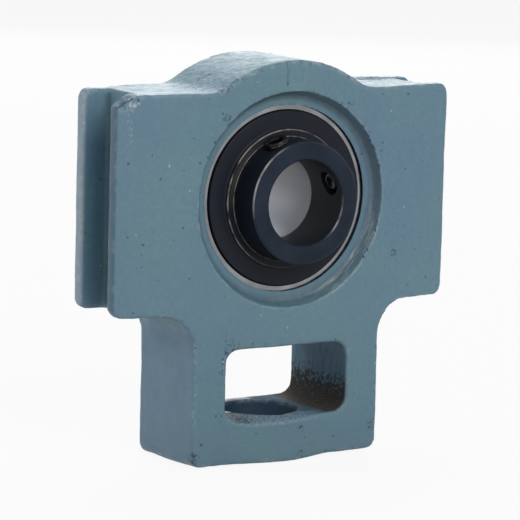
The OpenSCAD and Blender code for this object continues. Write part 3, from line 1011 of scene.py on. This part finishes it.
def grit_share(points, normals, rough, crust):
    """How thickly grains lie at each point, most of all in the crust."""
    upward = step_up(normals[:, 2], 0.2, 0.8)
    clear = np.hypot(points[:, 0], points[:, 2]) > 27 * MM
    return rough * (0.25 + 0.75 * upward) * clear * (1 + 20 * crust)


def casting_mesh(look):
    """The housing as a sand casting, with values that its paint and grains follow."""
    mesh = even_mesh(merged_copy("housing"), look.step)
    links = links_of(mesh)
    points = array_of(mesh.vertices, "co")
    for _ in range(look.edge_passes):
        points += 0.5 * (neighbour_mean(points, links) - points)
    # The painted shade of each point, for the paint to follow
    keep_values(mesh, "deep", painted_shade_at(points))
    crust = crusted(points)
    keep_values(mesh, "crust", crust)

    sink_sill(points, look.sill)
    raise_foot(points, look.foot)
    break_corner(points)
    sink_strip(points)
    machine_seat(points)
    place_points(mesh, points)
    rough = step_up(np.linalg.norm(points, axis=1), SEAT_SPHERE + 0.4 * MM, SEAT_SPHERE + 1.4 * MM)
    points = sand_skin(points, array_of(mesh.vertex_normals, "vector"), rough, look)
    place_points(mesh, points)

    normals = array_of(mesh.vertex_normals, "vector")
    keep_values(mesh, "edge", edge_share(points, normals, links, look.step))
    keep_values(mesh, "grit", grit_share(points, normals, rough, crust))
    smooth(mesh)
    return mesh


# Shapes of the insert and the screws


def screw_mesh(name, look):
    """A set screw along Z with a cup point, a thread and a hexagon socket."""
    low, high = SCREW_POINT, SCREW_HEAD
    start, end = low + 0.55 * MM, high - 0.3 * MM
    wide = 1.28 * look.socket / 2
    sixth = math.pi / 3

    def threaded(z):
        fade = min(1.0, (z - low) / look.pitch, (high - z) / look.pitch)

        def radius(turn):
            share = (z / look.pitch - turn / (2 * math.pi)) % 1.0
            return SCREW_R - look.depth * fade * abs(2 * share - 1)

        return radius

    def socket(turn):
        return look.socket / 2 / math.cos(turn % sixth - sixth / 2)

    def mouth(turn):
        return 0.5 * (wide + socket(turn)) - 0.02 * MM

    rows = round((end - start) / look.pitch * THREAD_STEPS)
    heights = [start + (end - start) * i / rows for i in range(rows + 1)]
    cup = [(plain(0), low + 0.6 * MM), (plain(0.8 * MM), low + 0.35 * MM)]
    root = plain(SCREW_R - look.depth)
    point = [(plain(1.5 * MM), low), (plain(1.8 * MM), low), (root, start - 0.15 * MM)]
    barrel = [(threaded(z), z) for z in heights]
    head = [(plain(SCREW_R - 0.25 * MM), high), (plain(wide), high), (mouth, high - 0.12 * MM)]
    floor = high - look.socket_depth
    key_hole = [(socket, high - 0.3 * MM), (socket, floor + 0.3 * MM), (plain(0), floor)]
    return ring_stack(name, cup + point + barrel + head + key_hole, SCREW_SIDES)


def rivet_mesh(low, high):
    """A cage rivet with a domed head at each end, along the bore's axis."""
    head_r, half = (high.x - low.x) / 2, (high.y - low.y) / 2
    shank_r, sheet = 0.55 * MM, half - 0.45 * MM
    shank = [(shank_r, 0), (shank_r, sheet)]
    head = [(head_r, sheet), (0.96 * head_r, sheet + 0.12 * MM), (0.75 * head_r, half - 0.1 * MM)]
    profile = shank + head + [(0.4 * head_r, half - 0.02 * MM), (0, half)]
    rings = [(plain(radius), -z) for radius, z in reversed(profile)]
    rings += [(plain(radius), z) for radius, z in profile]
    mesh = ring_stack("cage_rivet", rings, RIVET_SIDES)
    mesh.transform(Matrix.Rotation(math.pi / 2, 4, "X"))
    return mesh


def flinger_section():
    """Half section of a flinger: radius and height from the bearing's middle."""
    outer, inner = FLINGER_HIGH.x, INNER_R + 0.03 * MM
    foot, rim = -FLINGER_HIGH.y, -FLINGER_LOW.y
    disc, sheet = rim - 1.0 * MM, 0.8 * MM
    corners = [
        (inner, foot), (inner + sheet, foot), (inner + sheet, disc - sheet), (outer - sheet, disc - sheet),
        (outer - sheet, foot), (outer, foot), (outer, disc), (COLLAR_R + 0.35 * MM, disc),
        (COLLAR_R, disc + 0.3 * MM), (COLLAR_R, rim), (inner, rim),
    ]
    sides = [(i, (i + 1) % len(corners)) for i in range(len(corners))]
    mesh = bpy.data.meshes.new("flinger_section")
    mesh.from_pydata([(radius, height, 0) for radius, height in corners], sides, [])
    return mesh


# Stage


def add_floor(look):
    """A pale floor that shows white and keeps the shadow."""
    material = bpy.data.materials.new("floor_pale")
    material.use_nodes = True
    pale = Nodes(material.node_tree)
    pale.tree.nodes.clear()
    matt = pale.add("ShaderNodeBsdfDiffuse", {"Color": (*look.floor, 1)})[0]
    white = pale.add("ShaderNodeEmission")[0]
    share = pale.product(pale.seen(), FLOOR_WHITE)
    both = pale.add("ShaderNodeMixShader", {0: share, 1: matt, 2: white})[0]
    pale.add("ShaderNodeOutputMaterial", {"Surface": both})

    height = HOUSING_LOW.z - FLOOR_GAP
    sides = ((-1, -1), (1, -1), (1, 1), (-1, 1))
    mesh = bpy.data.meshes.new("floor")
    mesh.from_pydata([(x * FLOOR_HALF, y * FLOOR_HALF, height) for x, y in sides], [], [(0, 1, 2, 3)])
    mesh.materials.append(material)
    floor = linked("floor", mesh)


def studio_world(look):
    """White to the camera and in reflections, softer as a light."""
    world = bpy.data.worlds.new("studio")
    world.use_nodes = True
    sky = Nodes(world.node_tree)
    back = sky.tree.nodes["Background"].inputs
    seen = sky.seen()
    sky.tree.links.new(sky.spread(seen, 0.0, 1.0, look.ambient, 1.0), back["Strength"])
    sky.tree.links.new(sky.mix(seen, look.sky, (1, 1, 1)), back["Color"])
    return world


def add_lamp(name, watts, width, place):
    """A soft square lamp that points at the unit."""
    data = bpy.data.lights.new(name, "AREA")
    data.energy = watts
    data.size = width
    lamp = linked(name, data)
    lamp.location = place
    lamp.rotation_mode = "QUATERNION"
    lamp.rotation_quaternion = (-place).to_track_quat("-Z", "Y")


def photo_camera(look):
    """The camera at the photograph's angle."""
    flat = math.cos(look.pitch)
    back = Vector((-math.sin(look.yaw) * flat, -math.cos(look.yaw) * flat, math.sin(look.pitch)))
    right = (-back).cross(Vector((0, 0, 1))).normalized()
    up = right.cross(-back)
    cos, sin = math.cos(look.roll), math.sin(look.roll)
    axes = Matrix((right * cos + up * sin, up * cos - right * sin, back)).transposed()
    data = bpy.data.cameras.new("camera")
    data.sensor_width = SENSOR
    data.lens = look.lens
    data.clip_start, data.clip_end = 0.01, 20.0
    camera = linked("camera", data)
    place = Vector((look.target_x, 0, look.target_z)) + back * look.distance
    camera.matrix_world = Matrix.Translation(place) @ axes.to_4x4()
    return camera


# Operators


class TAKEUP_OT_casting(bpy.types.Operator):
    """Make the painted sand-cast housing"""

    bl_idname = "takeup.casting"
    bl_label = "Cast housing"

    def execute(self, context):
        look = context.scene.takeup_casting
        mesh = casting_mesh(look)
        paint = paint_finish(look)
        thick = look.grit / sum(face.area for face in mesh.polygons)
        grains = {"Count_a_square_metre": thick, "Grain_width": look.grit_size, "Seed": GRIT_SEED}
        mesh = burnt_grit(mesh, **grains, Material=paint)
        piece("casting", mesh, paint, "housing", "paint", "housing")
        return {"FINISHED"}


class TAKEUP_OT_rings(bpy.types.Operator):
    """Finish the outer and inner ring of the insert"""

    bl_idname = "takeup.rings"
    bl_label = "Bearing rings"

    def execute(self, context):
        look = context.scene.takeup_insert
        outer = steel_finish("outer_ring_steel", look.ground_steel, rough=0.16, grooves=2400, shade=0.68)
        dress(["outer_ring"], outer)
        dress(["inner_ring"], oxide_finish(look))
        return {"FINISHED"}


class TAKEUP_OT_flingers(bpy.types.Operator):
    """Turn the pressed black flingers of both sides"""

    bl_idname = "takeup.flingers"
    bl_label = "Flingers"

    def execute(self, context):
        look = context.scene.takeup_insert
        black = black_sheet_finish(look)
        edges = {"Edge_rounding": look.sheet_edge, "Edge_steps": look.edge_steps}
        turns = {"Path_radius": SWEEP_R, "Turn_steps": look.turn_steps}
        mesh = turned_sheet(flinger_section(), **edges, **turns, Material=black)
        for name, turn in (("flinger_front", math.pi / 2), ("flinger_back", -math.pi / 2)):
            side = mesh.copy()
            side.transform(Matrix.Rotation(turn, 4, "X"))
            smooth(side)
            piece(name + "_sheet", side, black, "rotor", "pressed_black", name)
        return {"FINISHED"}


class TAKEUP_OT_rolling_set(bpy.types.Operator):
    """Finish the balls and cage, and rivet the cage"""

    bl_idname = "takeup.rolling_set"
    bl_label = "Balls and cage"

    def execute(self, context):
        look = context.scene.takeup_insert
        dress(BALLS, steel_finish("ball_steel", look.ball_steel, rough=0.06, grooves=1800, shade=0.92))
        cage = steel_finish("cage_steel", look.cage_steel, rough=0.3, grooves=900, shade=0.7)
        dress(CAGES, cage)
        low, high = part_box(RIVETS[0])
        x, _, z = (low + high) / 2
        ring = {"Pitch_radius": math.hypot(x, z), "Count": len(RIVETS), "Start_angle": math.atan2(z, x)}
        mesh = ring_of_rivets(rivet_mesh(low, high), **ring, Material=cage)
        piece("cage_rivets", mesh, cage, "cage", "cage_steel", *RIVETS)
        return {"FINISHED"}


class TAKEUP_OT_seals(bpy.types.Operator):
    """Finish the rubber seals behind the flingers"""

    bl_idname = "takeup.seals"
    bl_label = "Seals"

    def execute(self, context):
        dress(SEALS, rubber_finish(context.scene.takeup_insert))
        return {"FINISHED"}


class TAKEUP_OT_set_screws(bpy.types.Operator):
    """Make both threaded set screws"""

    bl_idname = "takeup.set_screws"
    bl_label = "Set screws"

    def execute(self, context):
        look = context.scene.takeup_screws
        steel = screw_finish(look)
        for name, body, degrees in SCREWS:
            low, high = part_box(name)
            mesh = screw_mesh(name, look)
            along = Vector((math.cos(math.radians(degrees)), 0, math.sin(math.radians(degrees))))
            turn = along.to_track_quat("Z", "Y").to_matrix().to_4x4()
            mesh.transform(Matrix.Translation((0, (low.y + high.y) / 2, 0)) @ turn)
            piece(name + "_threaded", mesh, steel, body, "screw_steel", name)
        return {"FINISHED"}


class TAKEUP_OT_stage(bpy.types.Operator):
    """Set the floor, the soft light and the camera"""

    bl_idname = "takeup.stage"
    bl_label = "Stage"

    def execute(self, context):
        scene = context.scene
        look = scene.takeup_stage
        scene.view_settings.view_transform = "Standard"
        add_floor(look)
        scene.world = studio_world(look)
        for name, width, place in LAMPS:
            add_lamp(name + "_lamp", getattr(look, name), width, Vector(place))
        scene.camera = photo_camera(look)
        return {"FINISHED"}


STEPS = (
    TAKEUP_OT_casting,
    TAKEUP_OT_rings,
    TAKEUP_OT_flingers,
    TAKEUP_OT_rolling_set,
    TAKEUP_OT_seals,
    TAKEUP_OT_set_screws,
    TAKEUP_OT_stage,
)
SETTINGS = (
    ("takeup_casting", CastingSettings),
    ("takeup_insert", InsertSettings),
    ("takeup_screws", ScrewSettings),
    ("takeup_stage", StageSettings),
)


class TAKEUP_PT_panel(bpy.types.Panel):
    """Lists the unit's pieces and their settings"""

    bl_label = "Take-up unit"
    bl_space_type = "VIEW_3D"
    bl_region_type = "UI"
    bl_category = "Take-up unit"

    def draw(self, context):
        for step in STEPS:
            self.layout.operator(step.bl_idname)
        for name, group in SETTINGS:
            box = self.layout.box()
            box.label(text=group.__doc__)
            for key in group.__annotations__:
                box.prop(getattr(context.scene, name), key)


def register():
    for _, group in SETTINGS:
        bpy.utils.register_class(group)
    for step in (*STEPS, TAKEUP_PT_panel):
        bpy.utils.register_class(step)
    for name, group in SETTINGS:
        setattr(bpy.types.Scene, name, PointerProperty(type=group))


def unregister():
    for name, _ in SETTINGS:
        delattr(bpy.types.Scene, name)
    for step in (TAKEUP_PT_panel, *reversed(STEPS)):
        bpy.utils.unregister_class(step)
    for _, group in reversed(SETTINGS):
        bpy.utils.unregister_class(group)


def main():
    register()
    bpy.ops.takeup.casting()
    bpy.ops.takeup.rings()
    bpy.ops.takeup.flingers()
    bpy.ops.takeup.rolling_set()
    bpy.ops.takeup.seals()
    bpy.ops.takeup.set_screws()
    bpy.ops.takeup.stage()


if __name__ == "__main__":
    main()
